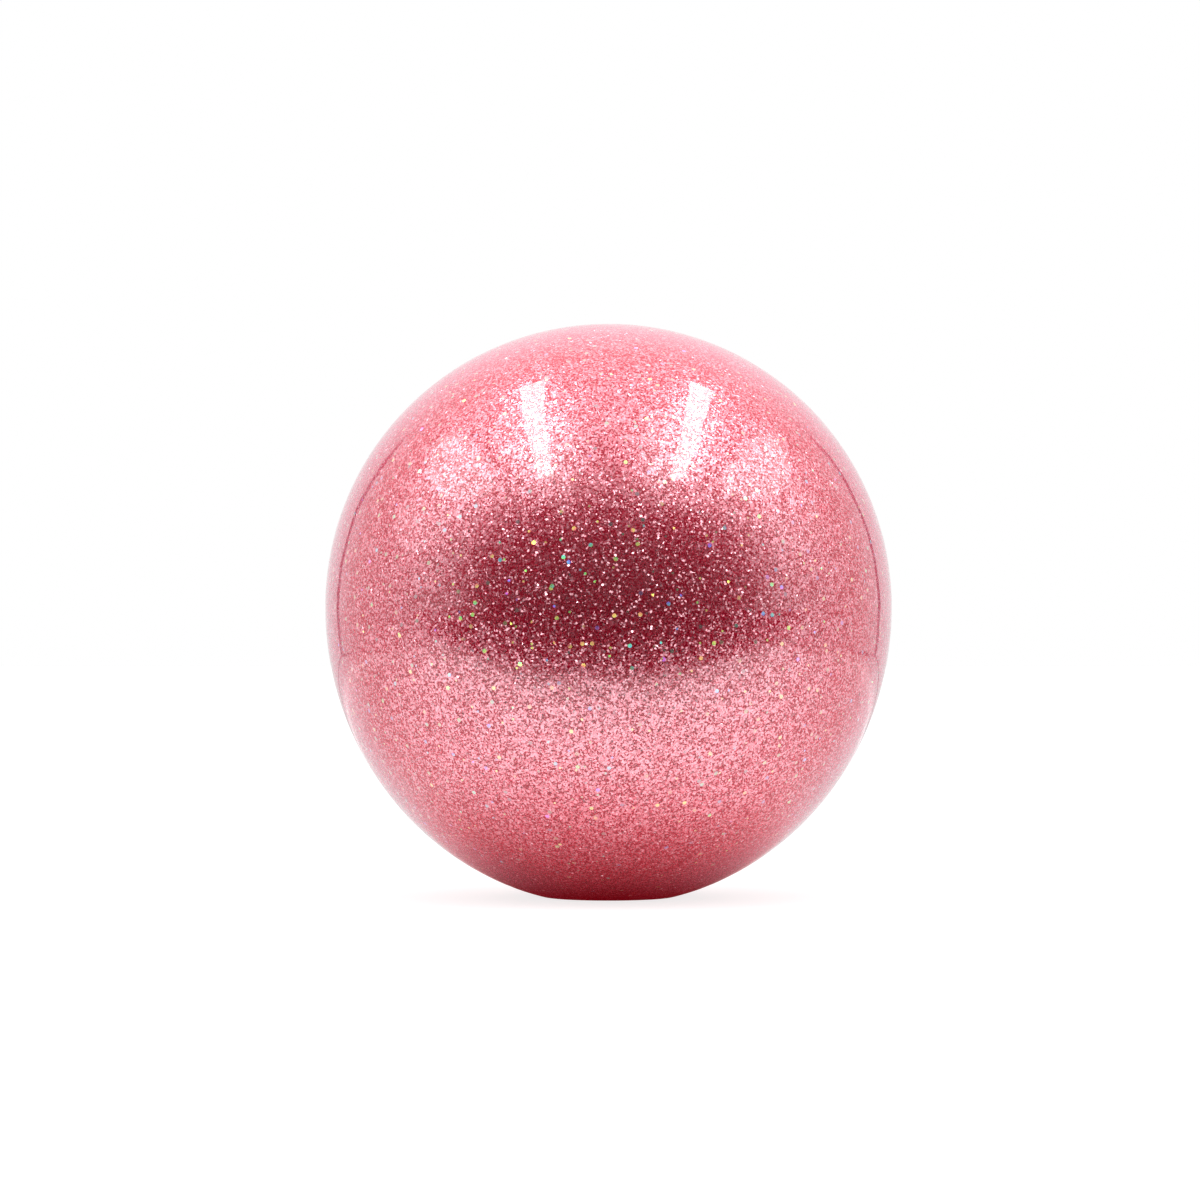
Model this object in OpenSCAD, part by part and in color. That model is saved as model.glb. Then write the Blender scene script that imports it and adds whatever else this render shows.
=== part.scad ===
// Soft inflated glitter ball: a two-ply vinyl wall with a valve boss, a valve sleeve and its stopper.
// The ball stands on the flat patch that its own weight presses out. The valve is at the back, facing +Y.

/* [Ball] */
// Diameter of the inflated ball round its widest ring
ball_d = 216; // [150:1:260]
// Extra depth of the lower half, which reaches lower than a round one
lower_stretch = 5.5; // [0.5:0.5:12]
// Diameter of the flat patch that the ball stands on
patch_d = 49; // [20:1:70]
// Thickness of the outer ply, clear vinyl filled with glitter
skin_t = 0.35; // [0.2:0.05:0.8]
// Thickness of the plain inner ply
wall_t = 0.5; // [0.3:0.05:1.5]

/* [Valve boss] */
// Thickness of the boss round the sleeve
boss_wall = 2; // [1.2:0.1:4]
// Length of the boss below the sleeve's flange
boss_len = 8.5; // [7:0.5:14]

/* [Valve sleeve] */
// Radial thickness of the sleeve's tube
sleeve_wall = 1.9; // [1.2:0.1:3]
// Width of the flange's rim outside the stopper's head
flange_rim = 2.6; // [1.5:0.1:4]
// Thickness of the flange under the stopper's head
flange_floor_t = 1.1; // [0.6:0.1:2]
// Length of the barb that locks behind the boss
barb_len = 3.2; // [1.5:0.1:5]
// Height of the barb above the sleeve's tube
barb_rise = 1; // [0.4:0.1:1.8]
// Chamfer round the head's seat, where a fingernail gets under the head
nail_chamfer = 0.6; // [0.2:0.05:1]

/* [Stopper] */
// Thickness of the stopper's head at its middle
head_t = 1.5; // [1.2:0.1:2.5]
// Overhang of the head past the sealing ribs
head_lip = 1.9; // [1:0.1:3]
// Chamfer round the top of the head
head_chamfer = 0.35; // [0.1:0.05:0.6]
// Diameter of the dimple in the middle of the head
dimple_d = 3; // [1.5:0.1:5]
// Depth of the dimple
dimple_depth = 0.4; // [0.1:0.05:0.8]
// Length of the stopper below its head
shank_len = 13.5; // [11:0.5:18]
// Length of the tapered tip, which is part of the shank
tip_len = 2.6; // [1:0.1:4]
// Diameter over the sealing ribs
rib_d = 6; // [4.5:0.1:8]
// Height of the sealing ribs above the shank's core
rib_rise = 0.45; // [0.2:0.05:0.8]
// Number of sealing ribs
rib_count = 3; // [2:1:4]

/* [Fits] */
// Radial clearance between the stopper's ribs and the sleeve
slide_gap = 0.05; // [0.02:0.01:0.1]
// Clearance between the stopper's head and its seat in the flange
head_gap = 0.12; // [0.05:0.01:0.3]
// Clearance between bonded pieces
bond_gap = 0.03; // [0.02:0.01:0.1]

/* [Hidden] */
$fn = 96;

// how far a cut runs past the face that it leaves through
overrun = 1;

// the ball, which stands with the centre of its widest ring at centre_z
ball_r = ball_d / 2;
lower_depth = ball_r + lower_stretch;
patch_r = patch_d / 2;
centre_z = lower_depth * sqrt(1 - pow(patch_r / ball_r, 2));

// the stopper: a round head over a ribbed shank
rib_r = rib_d / 2;
core_r = rib_r - rib_rise;
head_r = rib_r + head_lip;
dimple_r = dimple_d / 2;
dimple_floor_share = 0.7;
shank_end = head_t + shank_len;
tip_end_share = 0.55;
rib_pitch = (shank_len - tip_len) / (rib_count + 1);
rib_len_share = 0.6;
rib_len = rib_pitch * rib_len_share;
rib_lead_share = 0.75;

// the sleeve: a flange with the head's seat, a tube, and a barb at its inner end
bore_r = rib_r + slide_gap;
bore_chamfer = sleeve_wall / 3;
sleeve_r = bore_r + sleeve_wall;
seat_r = head_r + head_gap;
seat_depth = head_t + head_gap;
flange_r = seat_r + nail_chamfer + flange_rim;
flange_depth = seat_depth + flange_floor_t;
barb_r = sleeve_r + barb_rise;
barb_land_share = 0.3;

// the boss: a pocket for the flange and a tube for the sleeve
pocket_r = flange_r + bond_gap;
pocket_depth = flange_depth + bond_gap;
boss_bore_r = sleeve_r + bond_gap;
boss_tube_r = boss_bore_r + boss_wall;
boss_pocket_r = pocket_r + boss_wall;
boss_end = pocket_depth + boss_len;
barb_start = boss_end + bond_gap;
sleeve_end = barb_start + barb_len;

// what lies above or below the ball's widest ring
module half_space(side) {
    translate([-ball_d, -ball_d, side > 0 ? 0 : -ball_d]) cube([2 * ball_d, 2 * ball_d, ball_d]);
}

// the ball's closed form taken in by inset: a round upper half, and a lower half that reaches lower
module ball_form(inset) {
    form_r = ball_r - inset;
    intersection() {
        sphere(r = form_r);
        half_space(1);
    }
    intersection() {
        scale([1, 1, (lower_depth - inset) / form_r]) sphere(r = form_r);
        half_space(-1);
    }
}

// the same form stood on its flat patch, which is taken in by inset too
module standing_form(inset) {
    intersection() {
        translate([0, 0, centre_z]) ball_form(inset);
        translate([-ball_d, -ball_d, inset]) cube([2 * ball_d, 2 * ball_d, 2 * ball_d]);
    }
}

// the valve's place at the back: its children point out along +Z, with the ball's surface at zero
module at_valve() {
    translate([0, ball_r, centre_z]) rotate([-90, 0, 0]) children();
}

// trims a valve piece to the ball's round surface
module flush_with_ball() {
    intersection() {
        children();
        translate([0, 0, -ball_r]) sphere(r = ball_r);
    }
}

module flange_pocket() {
    translate([0, 0, -pocket_depth]) cylinder(r = pocket_r, h = pocket_depth + overrun);
}

module glitter_skin() {
    color([0.9, 0.5, 0.58]) difference() {
        standing_form(0);
        standing_form(skin_t);
        at_valve() flange_pocket();
    }
}

// the boss thickens the inner ply round the pocket, then narrows to a tube round the sleeve
module boss_body() {
    shoulder = pocket_depth + boss_wall;
    narrowing = boss_pocket_r - boss_tube_r;
    rotate_extrude() polygon([
        [0, -boss_end],
        [boss_tube_r, -boss_end],
        [boss_tube_r, -shoulder - narrowing],
        [boss_pocket_r, -shoulder],
        [boss_pocket_r, -pocket_depth],
        [boss_pocket_r + pocket_depth + overrun, overrun],
        [0, overrun]
    ]);
}

module inner_wall() {
    outer_inset = skin_t + bond_gap;
    color([0.78, 0.22, 0.34]) difference() {
        standing_form(outer_inset);
        difference() {
            standing_form(outer_inset + wall_t);
            at_valve() boss_body();
        }
        at_valve() {
            flange_pocket();
            translate([0, 0, -boss_end - overrun]) cylinder(r = boss_bore_r, h = boss_end + overrun);
        }
    }
}

module valve_sleeve() {
    color([0.94, 0.93, 0.92]) at_valve() flush_with_ball() rotate_extrude() polygon([
        [bore_r, -sleeve_end],
        [sleeve_r, -sleeve_end],
        [barb_r, -barb_start - barb_len * barb_land_share],
        [barb_r, -barb_start],
        [sleeve_r, -barb_start],
        [sleeve_r, -flange_depth],
        [flange_r, -flange_depth],
        [flange_r, 0],
        [seat_r + nail_chamfer, 0],
        [seat_r, -nail_chamfer],
        [seat_r, -seat_depth],
        [bore_r + bore_chamfer, -seat_depth],
        [bore_r, -seat_depth - bore_chamfer]
    ]);
}

// a barbed rib's outline: it leads in with a cone and ends in a short land
function rib_outline(start) = [
    [core_r, start],
    [rib_r, start + rib_len * rib_lead_share],
    [rib_r, start + rib_len],
    [core_r, start + rib_len]
];

function rib_start(i) = -shank_end + tip_len + rib_pitch * (i + 1) - rib_len / 2;

module stopper() {
    color([0.96, 0.95, 0.94]) at_valve() flush_with_ball() rotate_extrude() polygon([
        [0, -shank_end],
        [core_r * tip_end_share, -shank_end],
        [core_r, -shank_end + tip_len],
        for (i = [0 : rib_count - 1]) each rib_outline(rib_start(i)),
        [core_r, -head_t],
        [head_r, -head_t],
        [head_r, -head_chamfer],
        [head_r - head_chamfer, 0],
        [dimple_r, 0],
        [dimple_r * dimple_floor_share, -dimple_depth],
        [0, -dimple_depth]
    ]);
}

glitter_skin();
inner_wall();
valve_sleeve();
stopper();
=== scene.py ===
import math

import bmesh
import bpy
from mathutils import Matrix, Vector


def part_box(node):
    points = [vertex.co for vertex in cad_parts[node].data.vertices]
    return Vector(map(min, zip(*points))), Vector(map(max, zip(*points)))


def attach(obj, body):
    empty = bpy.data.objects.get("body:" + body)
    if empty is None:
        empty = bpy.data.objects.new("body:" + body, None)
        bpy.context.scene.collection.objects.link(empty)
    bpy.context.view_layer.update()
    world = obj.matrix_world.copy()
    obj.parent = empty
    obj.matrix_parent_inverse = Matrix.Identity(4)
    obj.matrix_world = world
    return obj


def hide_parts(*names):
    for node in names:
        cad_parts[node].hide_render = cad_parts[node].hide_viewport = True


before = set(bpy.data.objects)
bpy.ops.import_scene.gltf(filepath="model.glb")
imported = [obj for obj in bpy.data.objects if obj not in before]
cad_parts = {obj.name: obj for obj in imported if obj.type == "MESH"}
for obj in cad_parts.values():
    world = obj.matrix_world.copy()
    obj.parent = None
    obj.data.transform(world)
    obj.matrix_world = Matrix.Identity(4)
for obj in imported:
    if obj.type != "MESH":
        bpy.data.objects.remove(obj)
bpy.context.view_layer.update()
print("frame loaded")


# Helpers for modelling and for shader maths

modelling = {
    "weld": 0.000002,  # points nearer than this are made one, in metres
    "samePoint": 0.000005,  # a point nearer than this is the one that is looked for
    "smoothAngle": math.radians(30),  # sharper edges than this stay sharp
}


def deselectAll():
    if bpy.context.object and bpy.context.object.mode != "OBJECT":
        bpy.ops.object.mode_set(mode="OBJECT")
    bpy.ops.object.select_all(action="DESELECT")


def pickOnly(piece):
    deselectAll()
    piece.select_set(True)
    bpy.context.view_layer.objects.active = piece


def selectInEdit(piece, kind, test):  # selects the vertices or edges of the open mesh that pass the test
    bpy.ops.mesh.select_mode(type={"verts": "VERT", "edges": "EDGE"}[kind])
    bpy.ops.mesh.select_all(action="DESELECT")
    mesh = bmesh.from_edit_mesh(piece.data)
    for part in getattr(mesh, kind):
        if test(part):
            part.select_set(True)
    mesh.select_flush_mode()
    bmesh.update_edit_mesh(piece.data)


def settle(piece):  # puts the piece's place into its mesh
    pickOnly(piece)
    bpy.ops.object.transform_apply(location=True, rotation=True, scale=True)


def applyModifier(piece, name, kind, **settings):
    pickOnly(piece)
    modifier = piece.modifiers.new(name, kind)
    for key, value in settings.items():
        setattr(modifier, key, value)
    bpy.ops.object.modifier_apply(modifier=name)


def spinRound(piece, steps, center, axis):  # closes the open profile into a turned shape, faces outwards
    bpy.ops.mesh.select_all(action="SELECT")
    bpy.ops.mesh.spin(steps=steps, angle=2 * math.pi, center=center, axis=axis)
    bpy.ops.mesh.select_all(action="SELECT")
    bpy.ops.mesh.remove_doubles(threshold=modelling["weld"])
    bpy.ops.mesh.normals_make_consistent(inside=False)
    bpy.ops.object.mode_set(mode="OBJECT")


class Wire:  # one output socket of a node tree, with arithmetic
    def __init__(self, tree, socket=None):
        self.tree, self.socket = tree, socket

    def __getitem__(self, name):  # another output of the same node
        return Wire(self.tree, self.socket.node.outputs[name])

    def node(self, kind, settings=None, values=None):  # any node: its settings first, then its sockets
        made = self.tree.nodes.new("ShaderNode" + kind)
        for name, value in (settings or {}).items():
            setattr(made, name, value)
        for name, value in (values or {}).items():
            named = [s for s in made.inputs if s.name == name and s.enabled]
            socket = named[0] if named else made.inputs[name]
            if isinstance(value, Wire):
                self.tree.links.new(value.socket, socket)
            elif socket.type == "RGBA" and len(value) == 3:
                socket.default_value = (*value, 1)
            elif socket.type == "VECTOR" and not hasattr(value, "__len__"):
                socket.default_value = (value,) * 3
            else:
                socket.default_value = value
        shown = [s for s in made.outputs if s.enabled]
        return Wire(self.tree, shown[0] if shown else None)

    def isVector(self):
        return self.socket.type in ("VECTOR", "RGBA")

    def math(self, operation, *values):
        kind = "Math"
        if any(isinstance(v, Wire) and v.isVector() or isinstance(v, tuple) for v in values):
            kind = "VectorMath"
        return self.node(kind, {"operation": operation}, dict(enumerate(values)))

    def __add__(self, other):
        return self.math("ADD", self, other)

    def __radd__(self, other):
        return self.math("ADD", other, self)

    def __sub__(self, other):
        return self.math("SUBTRACT", self, other)

    def __rsub__(self, other):
        return self.math("SUBTRACT", other, self)

    def __mul__(self, other):
        return self.math("MULTIPLY", self, other)

    def __pow__(self, other):
        return self.math("POWER", self, other)

    def dot(self, other):
        return self.math("DOT_PRODUCT", self, other)["Value"]

    def size(self):
        return self.math("ABSOLUTE", self)

    def between(self, low, high):  # 0 below low, 1 above high, smooth between; low may be above high
        return self.node("MapRange", {"interpolation_type": "SMOOTHSTEP"},
                         {"Value": self, "From Min": low, "From Max": high})

    def mix(self, kind, first, second):  # first where this mask is 0, second where it is 1
        return self.node("Mix", {"data_type": kind}, {"Factor": self, "A": first, "B": second})


def newMaterial(name):
    material = bpy.data.materials.new(name)
    material.use_nodes = True
    material.node_tree.nodes.clear()
    return material, Wire(material.node_tree)


def finishMaterial(material, surface):
    surface.node("OutputMaterial", {}, {"Surface": surface})
    return material


def wear(piece, material):
    piece.data.materials.clear()
    piece.data.materials.append(material)


# The ball's form, worked out from the frame

skinLow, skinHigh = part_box("glitter_skin")
sleeveLow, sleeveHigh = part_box("valve_sleeve")

ballForm = {
    "patchRadius": 0.0245,  # the flat patch under the ball
}
equatorHeight = (sleeveLow.z + sleeveHigh.z) / 2
ballRadius = skinHigh.z - equatorHeight
lowerDepth = equatorHeight / math.sqrt(1 - (ballForm["patchRadius"] / ballRadius) ** 2)
valveOnSurface = Vector((0, ballRadius, equatorHeight))


# Glitter vinyl: flakes in layers, the deeper ones dimmer and redder, in cloudy red vinyl under a clear gloss

glitter = {
    # Top layer first: spacing in metres, how clear the vinyl over it is (in the deeper layers partly painted shade
    #     # from the flakes above), tint, how blurred it mirrors, and a shift that makes its pattern unlike the
    #     others'.
    "layers": [
        {"spacing": 0.00088, "clarity": 0.64, "tint": (1.0, 0.55, 0.64), "blur": (0.16, 0.32),
         "shift": (0, 0, 0)},
        {"spacing": 0.00076, "clarity": 0.54, "tint": (1.0, 0.47, 0.56), "blur": (0.20, 0.36),
         "shift": (7.3, 2.1, 5.7)},
        {"spacing": 0.00070, "clarity": 0.38, "tint": (1.0, 0.38, 0.48), "blur": (0.28, 0.44),
         "shift": (3.9, 8.8, 1.3)},
    ],
    "flakeLength": 0.60,  # half-length and half-width as shares of the spacing
    "flakeWidth": 0.40,
    "brightness": (0.4, 1.0),  # from flake to flake
    "dullPower": 2.5,  # above 1 most of them are bright
    "shadedShare": 0.24,  # flakes that stand on edge and show as narrow dark dashes
    "shadedWidth": 0.6,
    "glintLuck": (0.86, 1),  # the wildest flakes lie on top, paler and clearer
    "glintTint": (0.96, 0.54, 0.60),
    "glintClarity": 0.2,
    "flatTilt": 0.02,  # every flake's tilt; most have some of the calm tilt too, and a few the wild one
    "calmTilt": 0.19,
    "calmPower": 2,
    "wildTilt": 0.8,
    "wildPower": 8,
    "vinylColour": (1.0, 0.055, 0.12),
    "deepColour": (0.86, 0.017, 0.05),  # the vinyl round the duller flakes
    "gapColour": (0.36, 0.004, 0.022),
    "slantGap": (0.72, 0.004, 0.045),  # the same as a slanting look sees it
    "slantLoss": 0.48,  # a slanting look goes through more red vinyl, and sets the flakes off more
    "slantDull": 0.35,
    "slantBright": 0.6,
    "slantShaded": 0.22,
    "vinylRoughness": 0.55,
    "vinylMirror": 0.5,  # how much of the vinyl's light comes from the flakes deep in it
    "patchScale": 160,  # thicker and thinner glitter, per metre
    "patchDetail": 4,
    "patchRoughness": 0.75,
    "patchStrength": 1.5,
    "coatRoughness": 0.03,
    "coatIor": 1.6,
    "rimColour": (0.76, 0.17, 0.26),  # what a very slanting look sees between the flakes
    "rimSlant": (0.5, 0.85),
}

slivers = {  # long flakes on edge, which show as dark dashes
    "spacing": 0.0021,
    "shift": (2.9, 6.4, 8.3),
    "halfLength": 0.52,  # shares of the spacing
    "halfWidth": 0.11,
    "share": 0.2,
    "slantShare": 0.6,
    "clarity": 0.1,
}

rainbow = {
    "layers": [  # depth and radius are shares of the spacing
        {"spacing": 0.0055, "depth": 0.11, "radius": 0.14, "shift": (0.4, 5.1, 2.6)},
        {"spacing": 0.0047, "depth": 0.10, "radius": 0.10, "shift": (6.2, 1.7, 9.4)},
    ],
    "saturation": 0.84,
    "value": (0.7, 1.0),  # as in HSV, from flake to flake
    "hueSpread": 0.1,  # how the hue runs across a flake
    "hues": (0.07, 0.84),
    "warmth": 2.2,  # above 1 there are more orange, yellow and green flakes
    "clarity": 0.5,  # how much of a flake shows its own hue, tilted its own way
    "blur": 0.2,
    "silver": (0.96, 0.55, 0.62),  # the rest mirrors straight, pale where the light is full
    "mirror": 0.7,
    "tilt": 0.75,
}


# One cell per flake: where we are from its middle along the skin and through it, and the flake's own random values:
# luck, three chances, and a direction that it is turned and tilted by.
def flakeLayer(coords, facing, layer):
    spot = coords * (1 / layer["spacing"]) + layer["shift"]
    cell = spot.node("TexVoronoi", {"feature": "F1"}, {"Vector": spot, "Scale": 1})
    luck = spot.node("TexWhiteNoise", {}, {"Vector": cell["Position"]})
    fromMiddle = spot - cell["Position"]
    lift = fromMiddle.dot(facing)
    return {"flat": fromMiddle - facing * lift, "lift": lift, "luck": luck, "turn": cell["Color"] * 2 - (1, 1, 1),
            "chance": luck.node("SeparateColor", {}, {"Color": luck["Color"]})}


def fromEdge(flake, facing, halfLength, narrowness):  # 1 on a long flake's edge; narrowness is 1 / half-width ** 2
    along = facing.math("NORMALIZE", facing.math("CROSS_PRODUCT", facing, flake["turn"]))
    run = flake["flat"].dot(along) ** 2
    across = flake["flat"].dot(flake["flat"]) - run
    return run * (1 / halfLength ** 2) + across * narrowness


def cover(look, mask, **changes):  # the look takes these values where the mask is 1
    for name, value in changes.items():
        kind = {"tint": "RGBA", "vinyl": "RGBA", "tilt": "VECTOR"}.get(name, "FLOAT")
        look[name] = mask.mix(kind, look[name], value)


def layFlakes(look, coords, facing, slant, gap):  # the pink flakes, from the deepest layer up
    patches = coords.node("TexNoise", {}, {"Vector": coords, "Scale": glitter["patchScale"],
                                           "Detail": glitter["patchDetail"], "Roughness": glitter["patchRoughness"]})
    crowding = patches["Fac"] * (2 * glitter["patchStrength"]) + (1 - glitter["patchStrength"])
    dull, bright = glitter["brightness"]
    dull, bright = dull - slant * glitter["slantDull"], bright + slant * glitter["slantBright"]
    edgeOn = slant * glitter["slantShaded"] + glitter["shadedShare"]
    width = glitter["flakeWidth"]
    for layer in reversed(glitter["layers"]):
        flake = flakeLayer(coords, facing, layer)
        shaded = coords.math("LESS_THAN", flake["chance"]["Red"], edgeOn)
        narrowness = shaded.mix("FLOAT", 1 / width ** 2, 1 / (width * glitter["shadedWidth"]) ** 2)
        mask = coords.math("LESS_THAN", fromEdge(flake, facing, glitter["flakeLength"], narrowness), crowding)
        wildness = flake["luck"] ** glitter["wildPower"] * glitter["wildTilt"]
        wildness = flake["luck"] ** glitter["calmPower"] * glitter["calmTilt"] + glitter["flatTilt"] + wildness
        glint = flake["luck"].between(*glitter["glintLuck"])
        shine = bright - flake["chance"]["Blue"] ** glitter["dullPower"] * (bright - dull)
        cloudy = flake["chance"]["Green"].mix("RGBA", glitter["deepColour"], glitter["vinylColour"])
        sharpest, dullest = layer["blur"]
        cover(look, mask,
              tint=glint.mix("RGBA", shine * layer["tint"], glitter["glintTint"]),
              tilt=flake["turn"] * wildness,
              clarity=(1 - shaded) * (glint * glitter["glintClarity"] + layer["clarity"]),
              blur=flake["chance"]["Green"] * (dullest - sharpest) + sharpest,
              vinyl=shaded.mix("RGBA", cloudy, gap))


def laySlivers(look, coords, facing, slant, gap):
    flake = flakeLayer(coords, facing, slivers)
    edge = fromEdge(flake, facing, slivers["halfLength"], 1 / slivers["halfWidth"] ** 2)
    share = slant * slivers["slantShare"] + slivers["share"]
    mask = coords.math("LESS_THAN", edge, 1) * coords.math("LESS_THAN", flake["chance"]["Red"], share)
    cover(look, mask, clarity=look["clarity"] * slivers["clarity"], vinyl=gap)


def layRainbow(look, coords, facing):
    for layer in rainbow["layers"]:
        flake = flakeLayer(coords, facing, layer)
        near = coords.math("LESS_THAN", flake["lift"].size(), layer["depth"])
        disc = coords.math("LESS_THAN", flake["flat"].dot(flake["flat"]), layer["radius"] ** 2)
        first, last = rainbow["hues"]
        along = flake["flat"].dot(flake["turn"]) * (rainbow["hueSpread"] / layer["radius"])
        along = flake["luck"] ** rainbow["warmth"] * (last - first) + along + first
        least, most = rainbow["value"]
        hue = coords.node("CombineColor", {"mode": "HSV"}, {
            "Red": coords.math("FRACT", along), "Green": rainbow["saturation"],
            "Blue": flake["chance"]["Green"] * (most - least) + least})
        cover(look, near * disc, tint=hue, tilt=flake["turn"] * rainbow["tilt"], clarity=rainbow["clarity"],
              blur=rainbow["blur"], vinyl=rainbow["silver"], mirror=rainbow["mirror"], haze=rainbow["blur"])


def glitterVinyl():
    material, start = newMaterial("glitterVinyl")
    coordinates = start.node("TexCoord")
    coords, facing = coordinates["Object"], coordinates["Normal"]
    slant = start.node("LayerWeight", {}, {"Blend": 0.5})["Facing"]  # 0 seen straight on, 1 seen edge-on
    gap = slant.mix("RGBA", glitter["gapColour"], glitter["slantGap"])
    # Tint, tilt, blur and clarity are the flakes'; vinyl, mirror and haze are those of what lies between them.
    look = {"tint": (1, 1, 1), "tilt": (0, 0, 0), "blur": 0.5, "clarity": 0,
            "vinyl": gap, "mirror": glitter["vinylMirror"], "haze": glitter["vinylRoughness"]}
    layFlakes(look, coords, facing, slant, gap)
    laySlivers(look, coords, facing, slant, gap)
    cover(look, slant.between(*glitter["rimSlant"]), vinyl=glitter["rimColour"])
    layRainbow(look, coords, facing)
    normal = start.node("VectorTransform", {"vector_type": "NORMAL", "convert_from": "OBJECT", "convert_to": "WORLD"},
                        {"Vector": start.math("NORMALIZE", facing + look["tilt"])})
    coat = {"Coat Weight": 1, "Coat Roughness": glitter["coatRoughness"], "Coat IOR": glitter["coatIor"]}
    flakes = start.node("BsdfPrincipled", {}, {"Base Color": look["tint"], "Metallic": 1, "Normal": normal,
                                               "Roughness": look["blur"], **coat})
    body = start.node("BsdfPrincipled", {}, {"Base Color": look["vinyl"], "Metallic": look["mirror"],
                                             "Roughness": look["haze"], "Specular IOR Level": 0, **coat})
    clarity = look["clarity"] * (1 - slant * glitter["slantLoss"])
    return finishMaterial(material, start.node("MixShader", {}, {0: clarity, 1: body, 2: flakes}))


# The skin: a spun shell, round above and deeper below, with a flat patch and a round hole for the valve

skinForm = {
    "rings": 280,  # vertices round the profile's whole circle
    "segments": 280,
    "patchSteps": 5,
    "footRound": 0.0008,
    "footSteps": 3,
    "waveSize": 0.0065,  # the soft vinyl's faint waviness
    "waveHeight": 0.00009,
    "wavesFrom": 0.004,  # height above the floor
    "wall": 0.00035,
    "holeRadius": (sleeveHigh.x - sleeveLow.x) / 2 + 0.00003,  # the flange's, and the gap round it
    "holeDepth": 0.006,
    "holeSteps": 96,
    "lipRound": 0.0001,
    "lipSteps": 2,
    "lipTolerance": 0.00002,  # how far from the hole's radius its edge may lie
}


def makeSkin():
    tiny, nearAxis = ballRadius * 0.00001, ballRadius * 0.01
    middle = (0, 0, equatorHeight)

    # The profile: half a circle, drawn out below, cut flat, and carried on to the axis along the floor
    deselectAll()
    bpy.ops.mesh.primitive_circle_add(vertices=skinForm["rings"], radius=ballRadius, location=middle,
                                      rotation=(math.pi / 2, 0, 0))
    skin = bpy.context.object
    skin.name = "glitterSkin"
    settle(skin)
    bpy.ops.object.mode_set(mode="EDIT")
    selectInEdit(skin, "verts", lambda v: v.co.x < -tiny)
    bpy.ops.mesh.delete(type="VERT")
    selectInEdit(skin, "verts", lambda v: v.co.z < equatorHeight)
    bpy.ops.transform.resize(value=(1, 1, lowerDepth / ballRadius), center_override=middle)
    bpy.ops.mesh.select_all(action="SELECT")
    bpy.ops.mesh.bisect(plane_co=(0, 0, 0), plane_no=(0, 0, 1), clear_inner=True)
    selectInEdit(skin, "verts", lambda v: tiny < v.co.z < skinForm["footRound"] / 2)  # in the foot round's way
    bpy.ops.mesh.dissolve_verts()
    selectInEdit(skin, "verts", lambda v: v.co.z < tiny)
    bpy.ops.mesh.extrude_vertices_move(TRANSFORM_OT_translate={"value": (-ballForm["patchRadius"], 0, 0)})
    selectInEdit(skin, "verts", lambda v: v.co.z < tiny and v.co.x < nearAxis)
    bpy.ops.transform.resize(value=(0, 1, 1), center_override=(0, 0, 0))
    selectInEdit(skin, "verts", lambda v: v.co.z < tiny and v.co.x > tiny)
    bpy.ops.mesh.bevel(offset=skinForm["footRound"], segments=skinForm["footSteps"], affect="VERTICES")
    selectInEdit(skin, "edges", lambda e: max(v.co.z for v in e.verts) < tiny)
    bpy.ops.mesh.subdivide(number_cuts=skinForm["patchSteps"])
    spinRound(skin, skinForm["segments"], (0, 0, 0), (0, 0, 1))

    # The waves go inwards only, because the middle level is the texture's highest
    skin.vertex_groups.new(name="waves").add(
        [v.index for v in skin.data.vertices if v.co.z > skinForm["wavesFrom"]], 1, "REPLACE")
    waves = bpy.data.textures.new("moulding", "CLOUDS")
    waves.noise_scale, waves.noise_depth = skinForm["waveSize"], 1
    applyModifier(skin, "waves", "DISPLACE", texture=waves, texture_coords="LOCAL", mid_level=1,
                  strength=skinForm["waveHeight"], vertex_group="waves")
    applyModifier(skin, "wall", "SOLIDIFY", thickness=skinForm["wall"], offset=-1, use_even_offset=True)

    # The hole for the valve, with its lip rounded
    deselectAll()
    bpy.ops.mesh.primitive_cylinder_add(vertices=skinForm["holeSteps"], radius=skinForm["holeRadius"],
                                        depth=skinForm["holeDepth"], location=valveOnSurface,
                                        rotation=(math.pi / 2, 0, 0))
    cutter = bpy.context.object
    settle(cutter)
    applyModifier(skin, "hole", "BOOLEAN", operation="DIFFERENCE", object=cutter, solver="EXACT")
    bpy.data.objects.remove(cutter)
    pickOnly(skin)
    bpy.ops.object.mode_set(mode="EDIT")

    def onLip(v):  # on the hole's wall and on the skin's outer face
        fromAxis = math.hypot(v.co.x, v.co.z - equatorHeight)
        outside = (v.co - Vector(middle)).length > ballRadius - skinForm["wall"] / 2
        onHole = abs(fromAxis - skinForm["holeRadius"]) < skinForm["lipTolerance"] and v.co.y > 0
        return onHole and outside

    selectInEdit(skin, "edges", lambda e: onLip(e.verts[0]) and onLip(e.verts[1]))
    bpy.ops.mesh.bevel(offset=skinForm["lipRound"], segments=skinForm["lipSteps"], affect="EDGES")
    bpy.ops.object.mode_set(mode="OBJECT")
    bpy.ops.object.shade_smooth_by_angle(angle=modelling["smoothAngle"])
    wear(skin, glitterVinyl())
    return skin


# The valve: the sleeve with its flange and barb, and the stopper with its head and ribbed shank, both turned from a
# profile. A profile's points are radius, depth under the ball's surface and roundness of the corner, in millimetres.
# The sleeve's profile closes on itself, and the stopper's runs from axis to axis.

sleeveForm = {
    "profile": [
        (3.05, 14.48, 0.15),
        (4.95, 14.48, 0.15),
        (5.95, 12.24, 0.2),
        (5.95, 11.28, 0.12),
        (4.95, 11.28, 0.1),
        (4.95, 2.72, 0.2),
        (8.22, 2.72, 0.2),
        (8.22, 0, 0.12),
        (5.62, 0, 0.1),
        (5.02, 0.6, 0.1),
        (5.02, 1.62, 0.12),
        (3.683, 1.62, 0.12),
        (3.05, 2.253, 0.12),
    ],
    "closed": True,
    "steps": 128,
    "roundSteps": 3,
}

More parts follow.
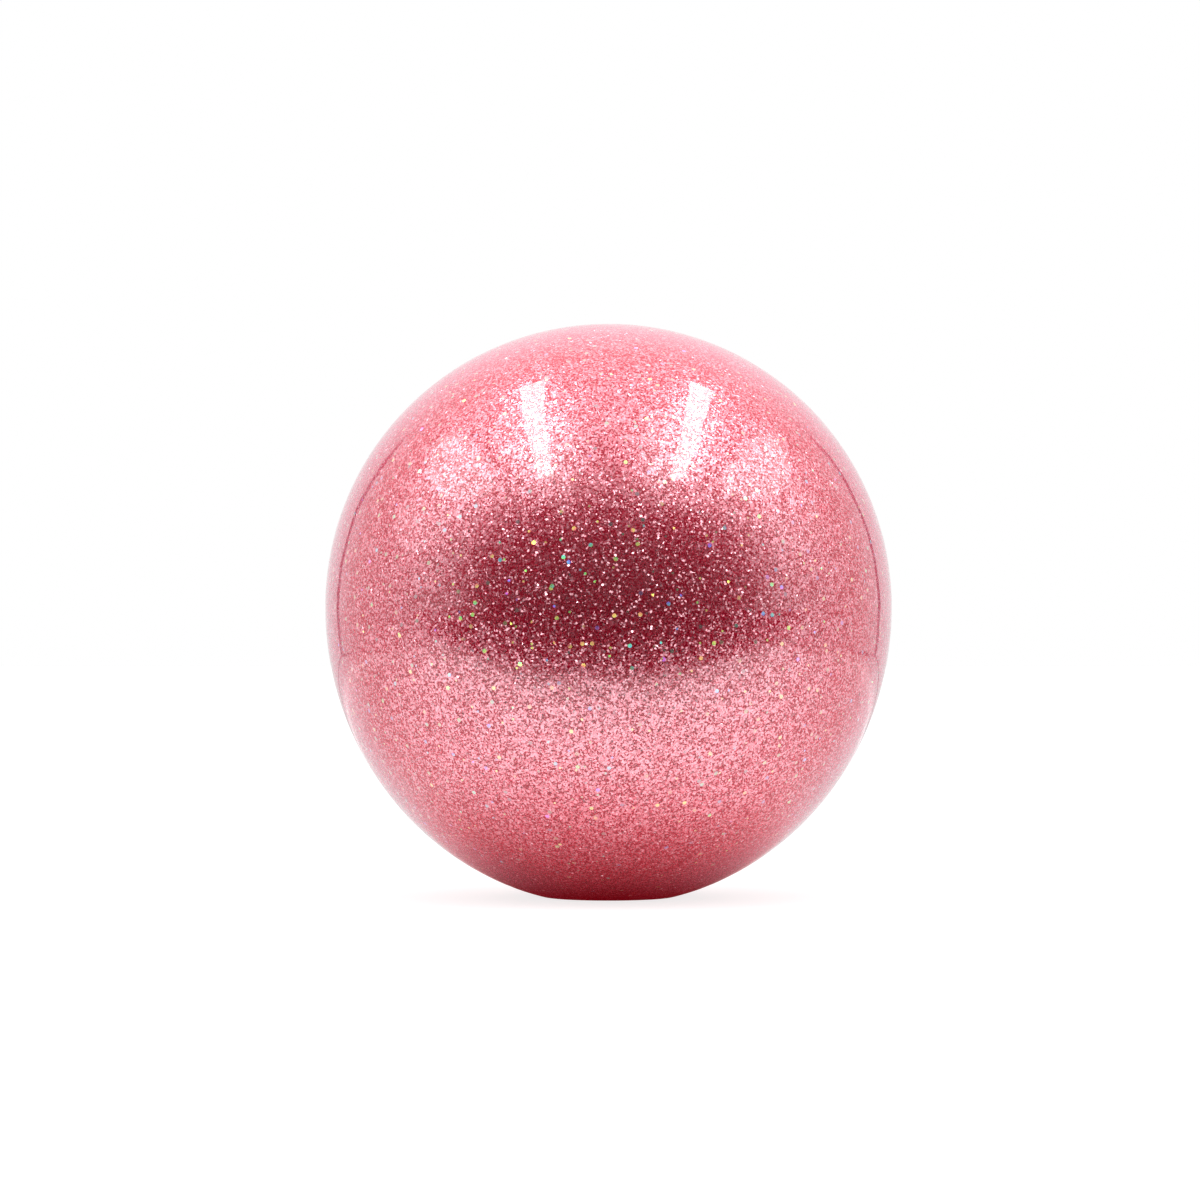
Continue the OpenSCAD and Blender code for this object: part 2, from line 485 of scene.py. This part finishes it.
stopperForm = {
    "profile": [
        (0, 15, 0),
        (1.4025, 15, 0.3),
        (2.55, 12.4, 0.2),
        *[(2.55 + rise, ribStart - run, turn) for ribStart in (10.4925, 7.7675, 5.0425)
          for rise, run, turn in ((0, 0, 0.1), (0.45, 1.226, 0.12), (0.45, 1.635, 0.1), (0, 1.635, 0.1))],
        (2.55, 1.5, 0.15),
        (4.9, 1.5, 0.12),
        (4.9, 0.35, 0.12),
        (4.55, 0, 0.12),
        (1.5, 0, 0.12),
        (1.05, 0.4, 0.12),
        (0, 0.4, 0),
    ],
    "closed": False,
    "steps": 128,
    "roundSteps": 3,
}

mouldedLook = {  # what the moulded plastics share
    "cloudDetail": 3,
    "cloudEdges": (0.35, 0.65),
    "grainDetail": 2,
    "grainEdges": (0.3, 0.7),
    "subsurfaceRadius": (0.002, 0.0016, 0.0012),
}

milkyVinyl = {
    "colour": (0.86, 0.84, 0.80),
    "cloudColour": (0.78, 0.74, 0.69),
    "cloudScale": 260,  # per metre
    "roughness": (0.34, 0.5),
    "grainScale": 5200,
    "grainHeight": 0.000012,
    "subsurface": 0.12,
}

whitePlastic = {
    "colour": (0.90, 0.89, 0.86),
    "cloudColour": (0.84, 0.82, 0.78),
    "cloudScale": 340,
    "roughness": (0.24, 0.36),
    "grainScale": 7000,
    "grainHeight": 0.000006,
    "subsurface": 0.06,
}

plainVinyl = {
    "colour": (0.55, 0.055, 0.11),
    "cloudColour": (0.45, 0.035, 0.08),
    "cloudScale": 90,
    "roughness": (0.4, 0.55),
    "grainScale": 2600,
    "grainHeight": 0.00002,
    "subsurface": 0.05,
}


def moulded(name, finish):  # a moulded plastic: cloudy colour, uneven gloss, fine grain
    material, start = newMaterial(name)
    coords = start.node("TexCoord")["Object"]
    clouds = start.node("TexNoise", {}, {"Vector": coords, "Scale": finish["cloudScale"],
                                         "Detail": mouldedLook["cloudDetail"]})["Fac"]
    grain = start.node("TexNoise", {}, {"Vector": coords, "Scale": finish["grainScale"],
                                        "Detail": mouldedLook["grainDetail"]})["Fac"]
    colour = clouds.between(*mouldedLook["cloudEdges"]).mix("RGBA", finish["colour"], finish["cloudColour"])
    smooth, dull = finish["roughness"]
    roughness = grain.between(*mouldedLook["grainEdges"]) * (dull - smooth) + smooth
    bump = start.node("Bump", {}, {"Strength": 1, "Distance": finish["grainHeight"], "Height": grain})
    surface = start.node("BsdfPrincipled", {}, {"Base Color": colour, "Roughness": roughness, "Normal": bump,
                                                "Subsurface Weight": finish["subsurface"],
                                                "Subsurface Radius": mouldedLook["subsurfaceRadius"],
                                                "Subsurface Scale": 1})
    return finishMaterial(material, surface)


def makeValvePiece(name, form, finish):
    perMetre = 1000  # millimetres

    def place(radius, depth):
        sag = ballRadius - math.sqrt(ballRadius ** 2 - (radius / perMetre) ** 2)  # the ball's curve under its tangent
        return Vector((radius / perMetre, ballRadius - max(depth / perMetre, sag), equatorHeight))

    spots = [place(radius, depth) for radius, depth, turn in form["profile"]]
    deselectAll()
    bpy.ops.mesh.primitive_plane_add(size=1 / perMetre, location=spots[0])  # merged to the profile's first point
    piece = bpy.context.object
    piece.name = name
    settle(piece)
    bpy.ops.object.mode_set(mode="EDIT")
    bpy.ops.mesh.select_mode(type="VERT")
    bpy.ops.mesh.select_all(action="SELECT")
    bpy.ops.mesh.merge(type="CENTER")
    for last, spot in zip(spots, spots[1:] + spots[:1] * form["closed"]):
        bpy.ops.mesh.extrude_vertices_move(TRANSFORM_OT_translate={"value": spot - last})
    bpy.ops.mesh.select_all(action="SELECT")
    bpy.ops.mesh.remove_doubles(threshold=modelling["weld"])
    for spot, (radius, depth, turn) in zip(spots, form["profile"]):
        if turn:
            selectInEdit(piece, "verts", lambda v: (v.co - spot).length < modelling["samePoint"])
            bpy.ops.mesh.bevel(offset=turn / perMetre, segments=form["roundSteps"], affect="VERTICES")
    spinRound(piece, form["steps"], (0, 0, equatorHeight), (0, 1, 0))
    pickOnly(piece)
    bpy.ops.object.shade_smooth_by_angle(angle=modelling["smoothAngle"])
    wear(piece, moulded(name + "Plastic", finish))
    return piece


skin = makeSkin()
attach(skin, "ball")
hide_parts("glitter_skin")
print("skin made")

sleeve = makeValvePiece("valveSleeve", sleeveForm, milkyVinyl)
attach(sleeve, "ball")
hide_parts("valve_sleeve")
pin = makeValvePiece("stopperPin", stopperForm, whitePlastic)
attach(pin, "stopper")
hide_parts("stopper")
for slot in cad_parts["inner_wall"].material_slots:  # the inner ply keeps its CAD shape
    slot.material = moulded("innerVinyl", plainVinyl)
print("valve made")


# Studio: a white tent with a dark opening behind the camera, two lamp bars under its roof, and a white floor.
# Directions are in degrees: azimuth from straight ahead of the ball, elevation from level. An oval on the tent has its
# middle and its half-size given as azimuth and elevation, and an edge of 1 is the oval's own.

toDegrees = 180 / math.pi

tent = {
    "roofLevel": 1.46,  # 1 is white
    "wallLevel": 0.98,
    "backLevel": 0.95,
    "wallTop": (76, 16),  # elevations between which the roof turns into a wall
    "wallStart": (60, 95),  # azimuths between which the front turns into a side wall
    "wallEnd": (141, 144),  # azimuths between which a side wall turns into the back wall
    "opening": {"middle": (0, 10), "halfSize": (69.5, 39)},
    "openingSoftness": 0.5,
    "openingLevel": 0.03,
    "notch": {"middle": (0, 60), "halfSize": (22, 13)},  # the opening's narrow top
    "notchEdge": (1.5, 0.2),
    "notchDepth": 0.45,
    "glows": [  # soft glows on the tent's sides
        {"middle": (90, 42), "halfSize": (29, 8), "level": 1.8},
        {"middle": (92, 27), "halfSize": (17, 12), "level": 0.6},
    ],
    "glowEdge": (1.15, 0.75),
    "seamAzimuth": 142,  # the dark corner between a side and the back
    "seamWidth": 2.2,
    "seamDepth": 1,
    "seamTop": (34, 20),  # where it fades out upwards
    "barGlow": {"middle": (23.5, 15), "halfSize": (13, 32), "level": 1.1},  # round the bars, sideways and forwards
    "barGlowEdge": (1.3, 0.1),
    "barGlowRise": (0.1, 0.3),  # it is only overhead: the sines of the elevations where it starts and is full
    "softLight": 0.92,  # how strongly the tent lights matt surfaces
}


def oval(across, up, form):  # below 1 inside the oval
    parts = [((value - middle) * (1 / half)) ** 2
             for value, middle, half in zip((across, up), form["middle"], form["halfSize"])]
    return parts[0] + parts[1]


def cornerSeam(azimuth):  # 1 on the tent's dark corner
    return (azimuth - tent["seamAzimuth"]).size().between(tent["seamWidth"], tent["seamWidth"] / 2)


def makeWorld():
    world = bpy.data.worlds.new("tent")
    bpy.context.scene.world = world
    world.use_nodes = True
    world.node_tree.nodes.clear()
    start = Wire(world.node_tree)
    direction = start.node("SeparateXYZ", {}, {"Vector": start.node("TexCoord")["Generated"]})
    side, ahead = direction["X"].size(), 0 - direction["Y"]
    azimuth = start.math("ARCTAN2", side, ahead) * toDegrees
    elevation = start.math("ARCSINE", direction["Z"]) * toDegrees
    upright = azimuth.between(*tent["wallEnd"]).mix("FLOAT", tent["wallLevel"], tent["backLevel"])
    wall = azimuth.between(*tent["wallStart"]) * elevation.between(*tent["wallTop"])
    level = wall.mix("FLOAT", tent["roofLevel"], upright)
    soft = tent["openingSoftness"]
    outside = oval(azimuth, elevation, tent["opening"]).between(1 - soft, 1 + soft)
    notch = oval(azimuth, elevation, tent["notch"]).between(*tent["notchEdge"])
    level = level * outside.mix("FLOAT", tent["openingLevel"], 1) * (1 - notch * tent["notchDepth"])
    seam = cornerSeam(azimuth) * elevation.between(*tent["seamTop"])
    level = level * (1 - seam * tent["seamDepth"])
    for glow in tent["glows"]:
        level = level + oval(azimuth, elevation, glow).between(*tent["glowEdge"]) * glow["level"]
    sideways = start.math("ARCTAN2", side, direction["Z"]) * toDegrees
    forwards = start.math("ARCTAN2", ahead, direction["Z"]) * toDegrees
    overhead = oval(sideways, forwards, tent["barGlow"]).between(*tent["barGlowEdge"])
    overhead = overhead * direction["Z"].between(*tent["barGlowRise"])
    level = level + overhead * tent["barGlow"]["level"]
    path = start.node("LightPath")
    level = path["Is Diffuse Ray"].mix("FLOAT", level, level * tent["softLight"])
    level = path["Is Camera Ray"].mix("FLOAT", level, 1)  # plain white behind the ball
    background = start.node("Background", {}, {"Color": (1, 1, 1), "Strength": level})
    start.node("OutputWorld", {}, {"Surface": background})


# The floor looks white to the camera. In the ball's gloss it is what the photo shows: lit beside and behind the ball,
# dark in front where the opening is, with the lines where the tent's walls meet it. Places are in metres.

paper = {
    "size": 12,
    "height": -0.00002,  # just under the ball's foot
    "frontEdge": (-0.335, -0.215),  # where the lit floor starts, in front of the ball
    "near": (0.7, 0.45),  # from as dim as the walls to bright, by the distance from the ball
    "nearLevel": (0.55, 1.0),  # far from the ball, and near it
    "besideLevel": (0.62, 0.82),  # the same in front, beside the opening
    "bareFrom": (0.028, 0.13),  # how far from its middle the ball shades the floor
    "footGlow": (0.72, 0.01, 0.03),  # the ball's red light on the floor that it shades
    "footGlowLeast": 0.25,  # its share right under the ball
    "back": (-0.16, 0.08),  # where the floor turns dimmer past the ball's front
    "backLoss": 0.47,
    "backEnd": (0.4, 0.6),  # how far out that ends
    "walls": (0.66, 0.72),  # where the side walls and the back wall meet the floor
    "wallFoot": (0.045, 0.0225),  # half-width of the line there, and of its darkest part
    "wallFootStart": (0.15, 0.3),  # how far back it starts
    "wallFootDepth": 0.8,
    "seamMiddle": (0.095, -0.035),  # the point of the floor that the corner's line runs out from
    "seamStart": (0.97, 1),  # as shares of the way out to the walls
    "shownColour": (0.32, 0.32, 0.32),  # to the camera: white paper, with a soft shadow
    "shownGlow": (0.80, 0.80, 0.80),
    "mirroredColour": (0.2, 0.2, 0.2),
    "mirroredGlow": (1.40, 1.40, 1.40),
    "plainColour": ((0.05, 0.05, 0.05), (0.90, 0.90, 0.90)),  # as it lights matt surfaces, unlit and lit
}


def makeFloor():
    deselectAll()
    bpy.ops.mesh.primitive_plane_add(size=paper["size"], location=(0, 0, paper["height"]))
    floor = bpy.context.object
    floor.name = "studioFloor"
    material, start = newMaterial("paperFloor")
    place = start.node("SeparateXYZ", {}, {"Vector": start.node("TexCoord")["Object"]})
    side, back = place["X"].size(), place["Y"]
    fromFoot = (side ** 2 + back ** 2) ** 0.5
    near = fromFoot.between(*paper["near"])
    beside = (start.math("ARCTAN2", side, 0 - back) * toDegrees).between(*tent["wallStart"])
    beside = beside * near.mix("FLOAT", *paper["besideLevel"])
    # Painted light on the floor: bright beside and behind the ball, dark in front where the opening is
    lit = start.math("MAXIMUM", back.between(*paper["frontEdge"]), beside)
    lit = lit * near.mix("FLOAT", *paper["nearLevel"])
    # Painted shadow of the ball on the floor's glow, and painted dimming behind the ball
    bare = fromFoot.between(*paper["bareFrom"])
    dimmer = back.between(*paper["back"]) * (1 - fromFoot.between(*paper["backEnd"]))

    # Painted shade: dark lines in the floor's glow where the walls meet the floor and along the tent's corner
    sideWall, backWall = paper["walls"]
    outwards = start.math("MAXIMUM", side * (1 / sideWall), back * (1 / backWall))  # 1 where the walls stand
    foot = (outwards - 1).size().between(*paper["wallFoot"])
    foot = foot * back.between(*paper["wallFootStart"]) * paper["wallFootDepth"]
    seamSide, seamBack = paper["seamMiddle"]
    azimuth = start.math("ARCTAN2", side - seamSide, seamBack - back) * toDegrees
    seam = cornerSeam(azimuth) * outwards.between(*paper["seamStart"]) * tent["seamDepth"]
    glow = lit * bare * (1 - dimmer * paper["backLoss"]) * (1 - start.math("MAXIMUM", foot, seam))
    # Painted light: the ball's red light on the floor that it shades, as a glow
    footGlow = (1 - bare) * (bare + paper["footGlowLeast"]) * paper["footGlow"]

    shown = start.node("AddShader", {}, {
        0: start.node("BsdfDiffuse", {}, {"Color": paper["shownColour"]}),
        1: start.node("Emission", {}, {"Color": paper["shownGlow"], "Strength": 1}),
    })
    mirrored = start.node("AddShader", {}, {
        0: start.node("BsdfDiffuse", {}, {"Color": lit * paper["mirroredColour"]}),
        1: start.node("Emission", {}, {"Color": glow * paper["mirroredGlow"] + footGlow, "Strength": 1}),
    })
    plain = start.node("BsdfDiffuse", {}, {"Color": lit.mix("RGBA", *paper["plainColour"])})
    path = start.node("LightPath")
    surface = start.node("MixShader", {}, {0: path["Is Glossy Ray"], 1: plain, 2: mirrored})
    surface = start.node("MixShader", {}, {0: path["Is Camera Ray"], 1: surface, 2: shown})
    wear(floor, finishMaterial(material, surface))


lampBars = {
    "height": 0.45,  # above the ball's middle
    "ends": [((-0.155, 0.077), (-0.215, -0.364)), ((0.190, 0.110), (0.237, -0.365))],  # back and front end of each
    "width": 0.056,
    "radiance": 6.0,
}


def makeLamps():
    height = lampBars["height"]
    for index, (back, front) in enumerate(lampBars["ends"]):
        start, end = Vector(back), Vector(front)
        length = (end - start).length
        light = bpy.data.lights.new(f"lampBar{index}", "AREA")
        light.shape = "RECTANGLE"
        light.size, light.size_y = lampBars["width"], length
        light.energy = lampBars["radiance"] * math.pi * lampBars["width"] * length  # watts, over the lamp's area
        lamp = bpy.data.objects.new(f"lampBar{index}", light)
        bpy.context.scene.collection.objects.link(lamp)
        middle = (start + end) / 2
        lamp.location = (middle.x, middle.y, equatorHeight + height)
        lamp.rotation_euler = (0, 0, math.atan2(end.y - start.y, end.x - start.x) - math.pi / 2)
        lamp.visible_camera = False


view = {
    "distance": 1.75,  # from the ball's middle, in metres
    "ballPixels": 567,  # the ball's width in the picture
    "framePixels": 1200,
    "middlePixels": (608.5, 607),  # where the middle of the widest ring lies in the picture
    "sensor": 36,
}


def makeCamera():
    distance = view["distance"]
    focalPixels = view["ballPixels"] / 2 * math.sqrt(distance ** 2 - ballRadius ** 2) / ballRadius
    camera = bpy.data.cameras.new("camera")
    camera.sensor_width = view["sensor"]
    camera.lens = focalPixels / view["framePixels"] * view["sensor"]
    placed = bpy.data.objects.new("camera", camera)
    bpy.context.scene.collection.objects.link(placed)
    metresPerPixel = distance / focalPixels
    right, down = (m - view["framePixels"] / 2 for m in view["middlePixels"])
    placed.location = (-right * metresPerPixel, -distance, equatorHeight + down * metresPerPixel)
    placed.rotation_euler = (math.pi / 2, 0, 0)
    bpy.context.scene.camera = placed


makeWorld()
makeFloor()
makeLamps()
makeCamera()
bpy.context.scene.view_settings.view_transform = "Standard"
print("studio made")
